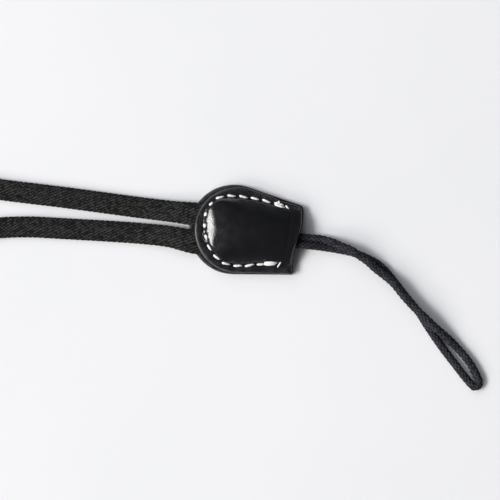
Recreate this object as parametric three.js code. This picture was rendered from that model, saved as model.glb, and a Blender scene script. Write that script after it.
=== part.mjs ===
// Camera wrist strap. A woven tape makes the wrist loop, and a doubled, braided cord makes the loop that
// threads through a camera's lug. Both are held in a leather tab: a flat lower layer and a domed upper
// layer, sewn together along a U-shaped seam that leaves the tab open at its mouth, where the cord comes out.
//
// Units are millimetres and +Z is up. The strap lies on a flat surface at z = 0. The origin is on the flat
// underside of the tab, and +X runs along the tab, towards its mouth.

import * as THREE from "three";
import { mergeVertices } from "three/addons/utils/BufferGeometryUtils.js";

// ---------------------------------------------------------------------------------------------------------
// Driving dimensions
// ---------------------------------------------------------------------------------------------------------

const GAP = 0.1; // clearance kept between the layers that lie on each other in the tab

const LEATHER = { thickness: 1.2, edgeRound: 0.25 };

// A layer of the tab is round at its head, where the webbing enters. Its two flanks run straight from there
// to the corners of the mouth.
const LOWER = {
  head: { x: -2.9, y: 0, radius: 11.6 },
  mouthCorners: { upper: { x: 13.95, y: 8.8 }, lower: { x: 14.15, y: -9.2 } },
};
// Doming the upper layer over what lies inside pulls its edge in, and its mouth is cut a little askew.
const UPPER = {
  head: { x: -1.9, y: 0, radius: 11.05 },
  mouthCorners: { upper: { x: 13.55, y: 8.4 }, lower: { x: 13.85, y: -9.0 } },
};
const CORNER_RADIUS = 0.6;
const MOUTH_WAVE = 0.5; // the mouth's edge stands out by this in its upper half and is drawn in below
const OUTLINE_STEP = 1.7; // distance between two points of a layer's outline

const DOME = {
  crownZ: 6.6, // top of the dome
  crownEndX: 2, // from here to the mouth the crown slopes down
  mouthZ: 5.0, // top of the arch at the mouth
  shoulder: 7.8, // how far inside the seam the dome reaches its full height
  ease: 0.5, // length over which the leather turns up out of the seam
  seamDepth: 0.25, // how far the thread pulls the leather down
  seamWidth: 0.7,
};
const LIP = 2.25; // the strip of upper leather between the mouth's edge and the crease behind it

// The seam, from its upper end at the mouth, round the head, to its lower end. It is sewn by hand, so it
// isn't quite even.
const SEAM = [
  { x: 10.2, y: 7.85 },
  { x: 4.5, y: 8.5 },
  { x: -1.4, y: 8.7 },
  { x: -7.2, y: 7.8 },
  { x: -10.4, y: 4.6 },
  { x: -10.8, y: 0.4 },
  { x: -8.9, y: -4.8 },
  { x: -5.0, y: -8.5 },
  { x: -0.4, y: -9.1 },
  { x: 5.2, y: -7.85 },
  { x: 10.2, y: -7.15 },
];

const WEBBING = {
  width: 5.5,
  thickness: 1.5,
  pressedWidth: 6.2, // between the leather layers the tape is pressed wider and thinner
  pressedThickness: 1.0,
  chamfer: 0.3, // the tape's edges are round, and a chamfer stands for that
};

const CORD = { diameter: 1.9, sides: 8, steps: 78 };

const KNOT = { x: 2.4, y: -0.5, length: 5.2, width: 6.0, height: 3.7 };

// ---------------------------------------------------------------------------------------------------------
// Levels that follow from those
// ---------------------------------------------------------------------------------------------------------

const lowerTopZ = LEATHER.thickness;
const insideFloorZ = lowerTopZ + GAP; // what lies in the tab rests here, and the upper layer's flange too
const webbingTopZ = insideFloorZ + WEBBING.pressedThickness;
const flangeZ = insideFloorZ + LEATHER.thickness; // top of the flange where the layers meet
const headFlangeZ = webbingTopZ + GAP + LEATHER.thickness; // top of the flange over the webbing
const mouthX = UPPER.mouthCorners.upper.x;

// ---------------------------------------------------------------------------------------------------------
// The wrist loop's centre line
// ---------------------------------------------------------------------------------------------------------

// Stations along the tape, from its upper end in the tab, out along the upper run, round the far bend, and
// back along the lower run. roll is the tape's turn about its own length in degrees: 0 lies flat, and 90
// stands on its edge, as a tape does in a bend. press is 1 between the leather layers and 0 outside them.
// rise is the height of the tape's underside.
const WRIST_LOOP = [
  { x: -5.5, y: 2.4, roll: 0, press: 1, rise: insideFloorZ },
  { x: -9.5, y: 2.4, roll: 0, press: 1, rise: insideFloorZ },
  { x: -13.2, y: 2.35, roll: 0, press: 1, rise: insideFloorZ },
  { x: -15.4, y: 2.25, roll: 0, press: 0.7, rise: 1.25 },
  { x: -19, y: 2.1, roll: 0, press: 0.15, rise: 0.8 },
  { x: -26, y: 1.85, roll: 0, press: 0, rise: 0.1 },
  { x: -33, y: 1.65, roll: 0, press: 0, rise: 0 },
  { x: -48, y: 1.3, roll: 0, press: 0, rise: 0 },
  { x: -64, y: 0.75, roll: 2, press: 0, rise: 0 },
  { x: -78, y: 0.6, roll: 14, press: 0, rise: 0 },
  { x: -94, y: 1.4, roll: 42, press: 0, rise: 0 },
  { x: -110, y: 3.2, roll: 74, press: 0, rise: 0 },
  { x: -126, y: 4.8, roll: 90, press: 0, rise: 0 },
  { x: -141, y: 4.6, roll: 90, press: 0, rise: 0 },
  { x: -152.8, y: -0.8, roll: 90, press: 0, rise: 0 },
  { x: -157.2, y: -12, roll: 90, press: 0, rise: 0 },
  { x: -152.8, y: -23.2, roll: 90, press: 0, rise: 0 },
  { x: -141, y: -28.6, roll: 90, press: 0, rise: 0 },
  { x: -126, y: -28, roll: 90, press: 0, rise: 0 },
  { x: -110, y: -24, roll: 74, press: 0, rise: 0 },
  { x: -94, y: -18.6, roll: 42, press: 0, rise: 0 },
  { x: -78, y: -13.4, roll: 14, press: 0, rise: 0 },
  { x: -63, y: -9.1, roll: 2, press: 0, rise: 0 },
  { x: -55, y: -7.6, roll: 0, press: 0, rise: 0 },
  { x: -47, y: -6.75, roll: 0, press: 0, rise: 0 },
  { x: -32, y: -5.25, roll: 0, press: 0, rise: 0 },
  { x: -26, y: -4.75, roll: 0, press: 0, rise: 0.1 },
  { x: -19, y: -4.45, roll: 0, press: 0.15, rise: 0.8 },
  { x: -15.4, y: -4.65, roll: 0, press: 0.7, rise: 1.25 },
  { x: -13.2, y: -4.8, roll: 0, press: 1, rise: insideFloorZ },
  { x: -9.5, y: -4.85, roll: 0, press: 1, rise: insideFloorZ },
  { x: -5.5, y: -4.85, roll: 0, press: 1, rise: insideFloorZ },
];
const TAPE_STEP = 3.4; // length of tape between two sections

// ---------------------------------------------------------------------------------------------------------
// The cord's route
// ---------------------------------------------------------------------------------------------------------

// It leaves the knot, comes out of the mouth, and twists twice over its own return on the way to the eye.
const CORD_ROUTE = [
  { x: 5.1, y: 0.5, z: 2.65 },
  { x: 13.5, y: 0.7, z: 2.36 },
  { x: 18, y: 0.97, z: 1.65 },
  { x: 20.5, y: 1.03, z: 1.38 },
  { x: 22.9, y: 0.72, z: 2.06 },
  { x: 25.3, y: 0.04, z: 2.7 },
  { x: 27.8, y: -0.5, z: 2.88 },
  { x: 29.9, y: -1.5, z: 2.92 },
  { x: 32.5, y: -2.74, z: 2.76 },
  { x: 35, y: -4.37, z: 2.38 },
  { x: 37.65, y: -5.83, z: 2.6 },
  { x: 40, y: -7.3, z: 2.83 },
  { x: 43.25, y: -10.2, z: 2.92 },
  { x: 46.2, y: -12.55, z: 2.95 },
  { x: 49.4, y: -14.75, z: 2.9 },
  { x: 52.6, y: -16.95, z: 2.4 },
  { x: 56.5, y: -19.3, z: 1.35 },
  { x: 58.7, y: -20.95, z: 0.99 },
  { x: 61.25, y: -23, z: 0.97 },
  { x: 63.55, y: -25.3, z: 0.97 },
  { x: 64.95, y: -27.15, z: 0.97 },
  { x: 65.95, y: -28.75, z: 0.97 },
  { x: 66.15, y: -29.6, z: 0.97 },
  { x: 65.8, y: -30.3, z: 0.97 },
  { x: 65.05, y: -30.5, z: 0.97 },
  { x: 64.3, y: -30.1, z: 0.97 },
  { x: 62.05, y: -28.2, z: 0.97 },
  { x: 59.25, y: -25.55, z: 0.97 },
  { x: 56.1, y: -22.6, z: 0.97 },
  { x: 53.3, y: -19.75, z: 0.97 },
  { x: 50.3, y: -16.5, z: 0.97 },
  { x: 47.9, y: -13.75, z: 0.97 },
  { x: 43.55, y: -9.9, z: 0.97 },
  { x: 40.4, y: -6.9, z: 0.97 },
  { x: 35.8, y: -3.25, z: 0.97 },
  { x: 29.5, y: -1.25, z: 0.97 },
  { x: 22.7, y: -0.9, z: 1 },
  { x: 18, y: -1, z: 1.65 },
  { x: 13.5, y: -1.27, z: 2.36 },
  { x: 5.1, y: -1.45, z: 2.65 },
];

// ---------------------------------------------------------------------------------------------------------
// Small helpers
// ---------------------------------------------------------------------------------------------------------

const { clamp, lerp, smoothstep, degToRad } = THREE.MathUtils;

/** A geometry from points and triangles, with faces that share their corners. */
function meshOf(points, triangles) {
  const geometry = new THREE.BufferGeometry();
  geometry.setAttribute("position", new THREE.Float32BufferAttribute(points.flatMap((p) => p.toArray()), 3));
  geometry.setIndex(triangles);
  const merged = mergeVertices(geometry, 1e-4);
  merged.computeVertexNormals();
  return merged;
}

/**
 * The triangles of a skin over rings of equally many points, in the points' own order. Each four-sided
 * patch is split along its shorter diagonal.
 */
function skin(rings) {
  const count = rings[0].length;
  const points = rings.flat();
  const triangles = [];
  for (let r = 0; r + 1 < rings.length; r++) {
    for (let k = 0; k < count; k++) {
      const a = r * count + k;
      const b = r * count + ((k + 1) % count);
      const [c, d] = [b + count, a + count];
      if (points[a].distanceTo(points[c]) < points[b].distanceTo(points[d])) {
        triangles.push(a, b, c, a, c, d);
      } else {
        triangles.push(a, b, d, b, c, d);
      }
    }
  }
  return triangles;
}

/** A solid from rings of equally many points, with a fan of triangles over each end. */
function loft(rings) {
  const count = rings[0].length;
  const last = (rings.length - 1) * count;
  const triangles = skin(rings);
  for (let k = 1; k + 1 < count; k++) {
    triangles.push(0, k + 1, k, last, last + k, last + k + 1);
  }
  return meshOf(rings.flat(), triangles);
}

/** The distance in plan from a point to an open line of points. */
function distanceToLine(point, line) {
  let nearest = Infinity;
  for (let i = 0; i + 1 < line.length; i++) {
    const side = line[i + 1].clone().sub(line[i]);
    const from = point.clone().sub(line[i]);
    const share = clamp(from.dot(side) / side.lengthSq(), 0, 1);
    nearest = Math.min(nearest, from.distanceTo(side.multiplyScalar(share)));
  }
  return nearest;
}

/** Whether a point lies within a closed line of points, found by counting the sides to its right. */
function isWithin(point, line) {
  let within = false;
  line.forEach((a, i) => {
    const b = line[(i + 1) % line.length];
    const spans = a.y > point.y !== b.y > point.y;
    if (spans && point.x < a.x + ((point.y - a.y) * (b.x - a.x)) / (b.y - a.y)) {
      within = !within;
    }
  });
  return within;
}

/** Where a ray from a centre through a point crosses a closed line of points. */
function rayOnto(centre, through, line) {
  const ray = through.clone().sub(centre);
  for (let i = 0; i < line.length; i++) {
    const from = line[i].clone().sub(centre);
    const side = line[(i + 1) % line.length].clone().sub(line[i]);
    const cross = ray.cross(side);
    const along = from.cross(side) / cross;
    const share = from.cross(ray) / cross;
    if (along > 0 && share >= 0 && share <= 1) {
      return centre.clone().addScaledVector(ray, along);
    }
  }
  throw new Error("the line doesn't go round the centre");
}

/** Points along a straight side, from its start up to but not including its end. */
function alongSide(start, end, step) {
  const count = Math.max(1, Math.round(start.distanceTo(end) / step));
  return Array.from({ length: count }, (_, k) => start.clone().lerp(end, k / count));
}

// ---------------------------------------------------------------------------------------------------------
// The leather tab
// ---------------------------------------------------------------------------------------------------------

/** A layer's outline, anticlockwise: round the head, down one flank, across the mouth, up the other. */
function layerOutline({ head, mouthCorners }) {
  const centre = new THREE.Vector2(head.x, head.y);
  const upper = new THREE.Vector2(mouthCorners.upper.x, mouthCorners.upper.y);
  const lower = new THREE.Vector2(mouthCorners.lower.x, mouthCorners.lower.y);
  // A flank touches the head's arc where the radius is square to it.
  const touchAngle = (corner, turn) => {
    const reach = corner.clone().sub(centre);
    return reach.angle() + turn * Math.acos(head.radius / reach.length());
  };
  const from = touchAngle(upper, 1);
  const to = touchAngle(lower, -1);
  const arc = new THREE.EllipseCurve(centre.x, centre.y, head.radius, head.radius, from, to);
  const arcPoints = arc.getSpacedPoints(Math.round(arc.getLength() / OUTLINE_STEP));

  // The corners of the mouth are rounded off by a short curve.
  const roundCorner = (before, corner, after) => {
    const back = before.clone().sub(corner).setLength(CORNER_RADIUS).add(corner);
    const on = after.clone().sub(corner).setLength(CORNER_RADIUS).add(corner);
    return new THREE.QuadraticBezierCurve(back, corner, on).getPoints(2);
  };
  const lowerCorner = roundCorner(arcPoints.at(-1), lower, upper);
  const upperCorner = roundCorner(lower, upper, arcPoints[0]);
  const mouth = alongSide(lowerCorner.at(-1), upperCorner[0], OUTLINE_STEP);
  for (const point of mouth) {
    const share = (point.y - mouth[0].y) / (upperCorner[0].y - mouth[0].y);
    point.x -= MOUTH_WAVE * Math.sin(2 * Math.PI * share);
  }
  return [
    ...arcPoints.slice(0, -1),
    ...alongSide(arcPoints.at(-1), lowerCorner[0], OUTLINE_STEP),
    ...lowerCorner.slice(0, -1),
    ...mouth,
    ...upperCorner.slice(0, -1),
    ...alongSide(upperCorner.at(-1), arcPoints[0], OUTLINE_STEP),
  ];
}

/** The flat under layer, with rounded edges. */
function lowerLeather() {
  const { thickness, edgeRound } = LEATHER;
  const geometry = new THREE.ExtrudeGeometry(new THREE.Shape(layerOutline(LOWER)), {
    depth: thickness - 2 * edgeRound,
    bevelThickness: edgeRound,
    bevelSize: edgeRound,
    bevelOffset: -edgeRound,
    bevelSegments: 2,
  });
  return geometry.translate(0, 0, edgeRound);
}

const seamCurve = new THREE.SplineCurve(SEAM.map(({ x, y }) => new THREE.Vector2(x, y)));
const seamLine = seamCurve.getSpacedPoints(60);

/** The seam with both ends run on straight past the mouth: the dome rises inside this line. */
function runOnPastMouth() {
  const past = 8;
  const first = seamLine[0].clone().addScaledVector(seamCurve.getTangent(0), -past);
  const last = seamLine.at(-1).clone().addScaledVector(seamCurve.getTangent(1), past);
  return [first, ...seamLine, last];
}
const domeLine = runOnPastMouth();

/** 1 over the webbing and close round it, falling to 0 beside it. */
function overWebbing({ x, y }) {
  const [upperRun, lowerRun] = [WRIST_LOOP[0], WRIST_LOOP.at(-1)];
  const half = WEBBING.pressedWidth / 2;
  const [close, far] = [0.4, 4.4];
  const above = 1 - smoothstep(y, upperRun.y + half + close, upperRun.y + half + far);
  const below = smoothstep(y, lowerRun.y - half - far, lowerRun.y - half - close);
  const behind = 1 - smoothstep(x, upperRun.x + close, upperRun.x + far);
  return above * below * behind;
}

/** Height of the upper layer's top face. */
function topZ(point) {
  const flange = lerp(flangeZ, headFlangeZ, overWebbing(point));
  const distance = distanceToLine(point, domeLine);
  const pull = DOME.seamDepth * Math.exp(-((distance / DOME.seamWidth) ** 2));
  if (!isWithin(point, domeLine)) {
    return flange - pull;
  }
  const crown = lerp(DOME.crownZ, DOME.mouthZ, smoothstep(point.x, DOME.crownEndX, mouthX));
  const eased = distance ** 2 / (distance + DOME.ease);
  const climb = 1 - (1 - Math.min(eased / DOME.shoulder, 1)) ** 2;
  return lerp(flange, crown, climb) - pull;
}

/** Height of the upper layer's inner face, which nowhere goes below what the layer is sewn down on. */
function innerZ(point) {
  const step = 0.05;
  const rise = (dx, dy) =>
    topZ(new THREE.Vector2(point.x + dx, point.y + dy)) - topZ(new THREE.Vector2(point.x - dx, point.y - dy));
  const steepness = Math.hypot(1, rise(step, 0) / (2 * step), rise(0, step) / (2 * step));
  const below = topZ(point) - LEATHER.thickness * steepness;
  return Math.max(below, lerp(insideFloorZ, webbingTopZ + GAP, overWebbing(point)));
}

/** The domed upper layer: rings from the crown out to the seam, and from the seam out to the edge. */
function upperLeather() {
  const edge = layerOutline(UPPER);
  const creaseX = mouthX - LIP;
  const pocket = [
    ...seamLine,
    new THREE.Vector2(creaseX, SEAM.at(-1).y),
    new THREE.Vector2(creaseX, SEAM[0].y),
  ];
  const centre = new THREE.Vector2(0, -0.2);
  const seam = edge.map((point) => rayOnto(centre, point, pocket));
  const toSeam = [0.22, 0.46, 0.64, 0.79, 0.91, 1].map((share) => seam.map((p) => centre.clone().lerp(p, share)));
  const toEdge = [0.35, 0.87, 1].map((share) => seam.map((p, k) => p.clone().lerp(edge[k], share)));
  const rings = [...toSeam, ...toEdge];

  const raise = (ring, height) => ring.map((p) => new THREE.Vector3(p.x, p.y, height(p)));
  const top = rings.map((ring) => raise(ring, topZ));
  top.at(-1).forEach((p) => (p.z -= LEATHER.edgeRound)); // the burnished edge
  const inner = rings.map((ring) => raise(ring, innerZ));
  const [crown] = raise([centre], topZ);
  const [cave] = raise([centre], innerZ);

  // From the crown out to the edge, round it, and back along the inside to the cave under the crown.
  const sheet = [...top, ...inner.reverse()].map((ring) => ring.reverse());
  const count = edge.length;
  const points = [...sheet.flat(), crown, cave];
  const [crownAt, caveAt] = [points.length - 2, points.length - 1];
  const last = (sheet.length - 1) * count;
  const triangles = skin(sheet);
  for (let k = 0; k < count; k++) {
    const next = (k + 1) % count;
    triangles.push(crownAt, next, k, caveAt, last + k, last + next);
  }
  return meshOf(points, triangles);
}

// ---------------------------------------------------------------------------------------------------------
// The wrist loop
// ---------------------------------------------------------------------------------------------------------

/** The tape's section, a chamfered rectangle: x is across the tape and y is through it. */
function tapeSection(width, thickness) {
  const [x, y] = [width / 2, thickness / 2];
  const cut = WEBBING.chamfer;
  const corners = [
    [x, y - cut],
    [x - cut, y],
    [-x + cut, y],
    [-x, y - cut],
    [-x, -y + cut],
    [-x + cut, -y],
    [x - cut, -y],
    [x, -y + cut],
  ];
  return corners.map(([across, through]) => new THREE.Vector2(across, through));
}

/** The woven tape, swept along its stations. */
function wristWebbing() {
  const line = new THREE.CatmullRomCurve3(
    WRIST_LOOP.map(({ x, y }) => new THREE.Vector3(x, y, 0)),
    false,
    "centripetal",
  );
  const settings = (key) => {
    const track = new THREE.SplineCurve(WRIST_LOOP.map((s, i) => new THREE.Vector2(i, s[key])));
    return (t) => track.getPoint(t).y;
  };
  const [rollAt, pressAt, riseAt] = ["roll", "press", "rise"].map(settings);
  const sections = Math.round(line.getLength() / TAPE_STEP);

  const rings = [];
  for (let i = 0; i <= sections; i++) {
    const t = line.getUtoTmapping(i / sections);
    const point = line.getPoint(t);
    const ahead = line.getTangent(t);
    const left = new THREE.Vector3(-ahead.y, ahead.x, 0);
    const press = clamp(pressAt(t), 0, 1);
    const width = lerp(WEBBING.width, WEBBING.pressedWidth, press);
    const thickness = lerp(WEBBING.thickness, WEBBING.pressedThickness, press);
    const roll = degToRad(clamp(rollAt(t), 0, 90));
    const outline = tapeSection(width, thickness);
    const across = left.clone().multiplyScalar(Math.cos(roll)).add(new THREE.Vector3(0, 0, -Math.sin(roll)));
    const through = left.clone().multiplyScalar(Math.sin(roll)).add(new THREE.Vector3(0, 0, Math.cos(roll)));
    const ring = outline.map((p) =>
      point.clone().addScaledVector(across, p.x).addScaledVector(through, p.y),
    );
    const lift = Math.max(riseAt(t), 0) - Math.min(...ring.map((p) => p.z));
    rings.push(ring.map((p) => p.setZ(p.z + lift)));
  }
  return loft(rings);
}

// ---------------------------------------------------------------------------------------------------------
// The cord and its knot
// ---------------------------------------------------------------------------------------------------------

/** The cord: one tube that goes out to the eye and comes back. */
function cordLoop() {
  const { diameter, sides, steps } = CORD;
  const section = new THREE.Shape(
    Array.from({ length: sides }, (_, k) => {
      const angle = ((k + 0.5) / sides) * 2 * Math.PI;
      return new THREE.Vector2(Math.cos(angle), Math.sin(angle)).multiplyScalar(diameter / 2);
    }),
  );
  const route = new THREE.CatmullRomCurve3(
    CORD_ROUTE.map(({ x, y, z }) => new THREE.Vector3(x, y, z)),
    false,
    "centripetal",
  );
  return new THREE.ExtrudeGeometry(section, { steps, extrudePath: route });
}

/** The knot that keeps the cord's two ends in the tab. */
function cordKnot() {
  const { length, width, height } = KNOT;
  return new THREE.SphereGeometry(0.5, 14, 9).rotateX(Math.PI / 2).scale(length, width, height);
}

// ---------------------------------------------------------------------------------------------------------
// The strap
// ---------------------------------------------------------------------------------------------------------

const blackLeather = new THREE.MeshStandardMaterial({ color: 0x17171a, roughness: 0.3, metalness: 0 });
const blackWebbing = new THREE.MeshStandardMaterial({ color: 0x262628, roughness: 0.9, metalness: 0 });
const blackCord = new THREE.MeshStandardMaterial({ color: 0x2b2b30, roughness: 0.85, metalness: 0 });

function piece(name, geometry, material) {
  const mesh = new THREE.Mesh(geometry, material);
  mesh.name = name;
  return mesh;
}

const knot = piece("cord_knot", cordKnot(), blackCord);
knot.position.set(KNOT.x, KNOT.y, insideFloorZ + KNOT.height / 2);

const strap = new THREE.Group();
strap.add(
  piece("lower_leather", lowerLeather(), blackLeather),
  piece("upper_leather", upperLeather(), blackLeather),
  piece("wrist_webbing", wristWebbing(), blackWebbing),
  piece("cord_loop", cordLoop(), blackCord),
  knot,
);

export default strap;
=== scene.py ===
# %% [markdown]
# # A camera wrist strap
#
# This lesson dresses a camera wrist strap. A flat woven tape makes the wrist loop. Its two ends go into a
# small tab of two leather layers, sewn together with white thread. A thin braided cord comes out of the
# tab's open mouth, twists round itself, and ends in an eye that threads through a camera's lug.
#
# The model's solids are loaded first, as a fixed frame. Every piece made here is in metres and lies in the
# place of the solid that it stands for. Sizes are easier to read in millimetres, so they are written that
# way and turned into metres at the end.

# %% Load the frame
from math import acos, atan2, cos, hypot, pi, radians, sin

import bpy
import numpy as np
from mathutils import Matrix, Vector


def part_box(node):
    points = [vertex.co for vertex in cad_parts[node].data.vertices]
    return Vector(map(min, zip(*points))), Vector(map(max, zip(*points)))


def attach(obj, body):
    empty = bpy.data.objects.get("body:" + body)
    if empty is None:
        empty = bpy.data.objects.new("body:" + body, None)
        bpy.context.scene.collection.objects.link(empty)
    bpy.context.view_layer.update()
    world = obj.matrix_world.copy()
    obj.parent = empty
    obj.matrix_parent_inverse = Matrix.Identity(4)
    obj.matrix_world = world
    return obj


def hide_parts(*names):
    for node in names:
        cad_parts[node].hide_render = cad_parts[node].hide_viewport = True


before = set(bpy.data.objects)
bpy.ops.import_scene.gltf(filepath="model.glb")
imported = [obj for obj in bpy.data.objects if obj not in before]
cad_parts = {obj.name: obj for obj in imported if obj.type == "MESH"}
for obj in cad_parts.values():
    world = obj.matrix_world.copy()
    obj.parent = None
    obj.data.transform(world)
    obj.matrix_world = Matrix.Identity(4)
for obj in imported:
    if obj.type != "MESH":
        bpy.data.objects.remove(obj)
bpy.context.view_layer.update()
MM = 0.001
print("nodes:", sorted(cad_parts))

# %% [markdown]
# ## Working by hand in code
#
# Blender's operators act on whatever is selected, as they do under the mouse. These helpers start each step
# with nothing selected, go in and out of edit mode, and pick vertices, edges or faces by where they are.
# Numpy reads and writes all of a mesh's points at once, which keeps fine cloth quick to shape.


# %% Helpers for meshes
def object_mode():
    if bpy.context.object and bpy.context.object.mode != "OBJECT":
        bpy.ops.object.mode_set(mode="OBJECT")


def start_clean():
    object_mode()
    bpy.ops.object.select_all(action="DESELECT")


def name_it(name):
    piece = bpy.context.object
    piece.name = piece.data.name = name
    return piece


def points_of(piece):
    """All the points of a mesh, a row each."""
    flat = np.empty(len(piece.data.vertices) * 3)
    piece.data.vertices.foreach_get("co", flat)
    return flat.reshape(-1, 3)


def place_points(piece, points):
    piece.data.vertices.foreach_set("co", np.asarray(points, float).ravel())
    piece.data.update()


def edit_selected(piece, kind, wanted):
    """Go into edit mode with only those vertices, edges or faces selected that wanted says."""
    start_clean()
    bpy.context.view_layer.objects.active = piece
    piece.select_set(True)
    bpy.ops.object.mode_set(mode="EDIT")
    bpy.ops.mesh.select_mode(type=kind)
    bpy.ops.mesh.select_all(action="DESELECT")
    bpy.ops.object.mode_set(mode="OBJECT")
    parts = {"VERT": piece.data.vertices, "EDGE": piece.data.edges, "FACE": piece.data.polygons}[kind]
    parts.foreach_set("select", np.fromiter((bool(wanted(p)) for p in parts), bool, len(parts)))
    bpy.ops.object.mode_set(mode="EDIT")


def tidy_shell(piece):
    """Merge doubled points, turn all faces outwards and shade the piece smooth."""
    edit_selected(piece, "VERT", lambda vertex: True)
    bpy.ops.mesh.remove_doubles(threshold=0.0005 * MM)
    bpy.ops.mesh.normals_make_consistent(inside=False)
    object_mode()
    bpy.ops.object.shade_smooth()


def apply_modifier(piece, kind, **settings):
    """Add a modifier with these settings and apply it."""
    bpy.context.view_layer.objects.active = piece
    modifier = piece.modifiers.new(kind.lower(), kind)
    for key, value in settings.items():
        setattr(modifier, key, value)
    bpy.ops.object.modifier_apply(modifier=modifier.name)


# %% [markdown]
# ## Smooth lines through a few points
#
# A strap, a cord and a seam all follow curves that were laid by hand. Each is given by a few points, and a
# Catmull-Rom spline runs smoothly through them. The centripetal kind keeps tight bends round, where the
# plain kind can overshoot. It also works for values that change along a line, such as a tape's twist.


# %% Helpers for lines
def spline(points, per_span=24, centripetal=True):
    """Points along a smooth line through the given ones."""
    points = np.array(points, float)
    padded = np.vstack([2 * points[0] - points[1], points, 2 * points[-1] - points[-2]])
    w = np.linspace(0, 1, per_span, endpoint=False)[:, None]
    pieces = []
    for a, b, c, d in zip(padded, padded[1:], padded[2:], padded[3:]):
        spans = [hypot(*(v - u)) ** 0.5 if centripetal else 1 for u, v in ((a, b), (b, c), (c, d))]
        before, here, after = spans
        leave = ((b - a) / before - (c - a) / (before + here) + (c - b) / here) * here
        arrive = ((c - b) / here - (d - b) / (here + after) + (d - c) / after) * here
        pieces.append(
            b * (2 * w**3 - 3 * w**2 + 1)
            + leave * (w**3 - 2 * w**2 + w)
            + c * (3 * w**2 - 2 * w**3)
            + arrive * (w**3 - w**2)
        )
    return np.vstack([*pieces, points[-1]])


def lengths_along(line):
    """How far along a line each of its points lies."""
    steps = np.linalg.norm(np.diff(line, axis=0), axis=1)
    return np.concatenate([[0], np.cumsum(steps)])


def at_lengths(line, wanted, lengths=None):
    """The points, or other values, at the wanted distances along a line."""
    lengths = lengths_along(line) if lengths is None else lengths
    return np.stack([np.interp(wanted, lengths, column) for column in line.T], axis=1)


def unit(vectors):
    return vectors / np.linalg.norm(vectors, axis=-1, keepdims=True)


def smoothstep(x, low, high):
    t = np.clip((x - low) / (high - low), 0, 1)
    return t * t * (3 - 2 * t)


# %% [markdown]
# ## The camera
#
# The strap lies flat and the camera looks straight down on it, with a long lens, as for a product shot. It
# is turned a little about its own axis, so the tab points to the right and slightly down in the picture.
# The field is 130 mm wide: it holds the tab and the whole cord, and the wrist loop runs out of it.

# %% The camera
FIELD = 130 * MM
LENS, SENSOR = 110, 36
ROLL = 9
tab_low, tab_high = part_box("lower_leather")
tab_centre = (Vector(tab_low) + Vector(tab_high)) / 2
start_clean()
bpy.ops.object.camera_add(
    location=(tab_centre.x + 2.1 * MM, tab_centre.y - 4.6 * MM, FIELD * LENS / SENSOR),
    rotation=(0, 0, radians(ROLL)),
)
camera = bpy.context.object
camera.name = "camera"
camera.data.lens = LENS
camera.data.sensor_width = SENSOR
camera.data.clip_start = 0.01
bpy.context.scene.camera = camera
print("camera height", round(camera.location.z, 3), "m")

# %% [markdown]
# ## How cloth is woven here
#
# The tape and the cord are both braided. In a braid every yarn shows as a row of small humps, where it
# passes over the others, and the humps of neighbouring rows lie staggered, like bricks. One repeat of that
# pattern is a small rectangle with one hump in the middle and a quarter of one at each corner.
#
# Drawing every yarn would cost millions of faces. Instead one repeat is modelled as a little grid whose
# alternate columns are shifted by half a step, so that its points fall on the humps and in the dips between
# them. Two Array modifiers lay copies of it side by side into a flat sheet, and the sheet is then wrapped
# round the tape or the cord. The sheet's own coordinates are kept as a UV map, and the fine filaments are
# drawn along it by the material.


# %% Weave a flat sheet
def woven_sheet(name, repeat, counts, steps, height):
    """A flat sheet of woven repeats: x runs along it, y across, and z is the relief.

    steps is how many points a hump has each way. height gives the relief from two coordinates that run
    along the two diagonals of the weave, where whole numbers are the dips between the humps."""
    start_clean()
    bpy.ops.mesh.primitive_grid_add(x_subdivisions=2 * steps, y_subdivisions=steps, size=1)
    bpy.ops.transform.resize(value=(repeat[0], repeat[1], 1))
    bpy.ops.transform.translate(value=(repeat[0] / 2, repeat[1] / 2, 0))
    bpy.ops.object.transform_apply(location=True, rotation=True, scale=True)
    piece = name_it(name)
    points = points_of(piece)
    column = np.round(points[:, 0] / repeat[0] * 2 * steps)
    points[:, 1] += (column % 2) * repeat[1] / (2 * steps)
    along, across = points[:, 0] / repeat[0], points[:, 1] / repeat[1]
    points[:, 2] = height(along + across, along - across)
    place_points(piece, points)
    merging = {"use_relative_offset": False, "use_constant_offset": True, "use_merge_vertices": True}
    merging["merge_threshold"] = repeat[1] * 0.02
    for axis, count in ((1, counts[1]), (0, counts[0])):
        offset = [0, 0, 0]
        offset[axis] = repeat[axis]
        apply_modifier(piece, "ARRAY", count=count, constant_offset_displace=offset, **merging)
    corners = np.empty(len(piece.data.loops), int)
    piece.data.loops.foreach_get("vertex_index", corners)
    flat = points_of(piece)[corners, :2] / np.array(repeat)
    uv = piece.data.uv_layers.active or piece.data.uv_layers.new(name="weave")
    uv.name = "weave"
    uv.data.foreach_set("uv", flat.ravel())
    return piece


def hump(share, sharpness):
    """A hump's outline from one dip to the next: 0 at both ends and 1 in the middle."""
    return np.sin(pi * (share % 1)).clip(0) ** sharpness
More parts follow.
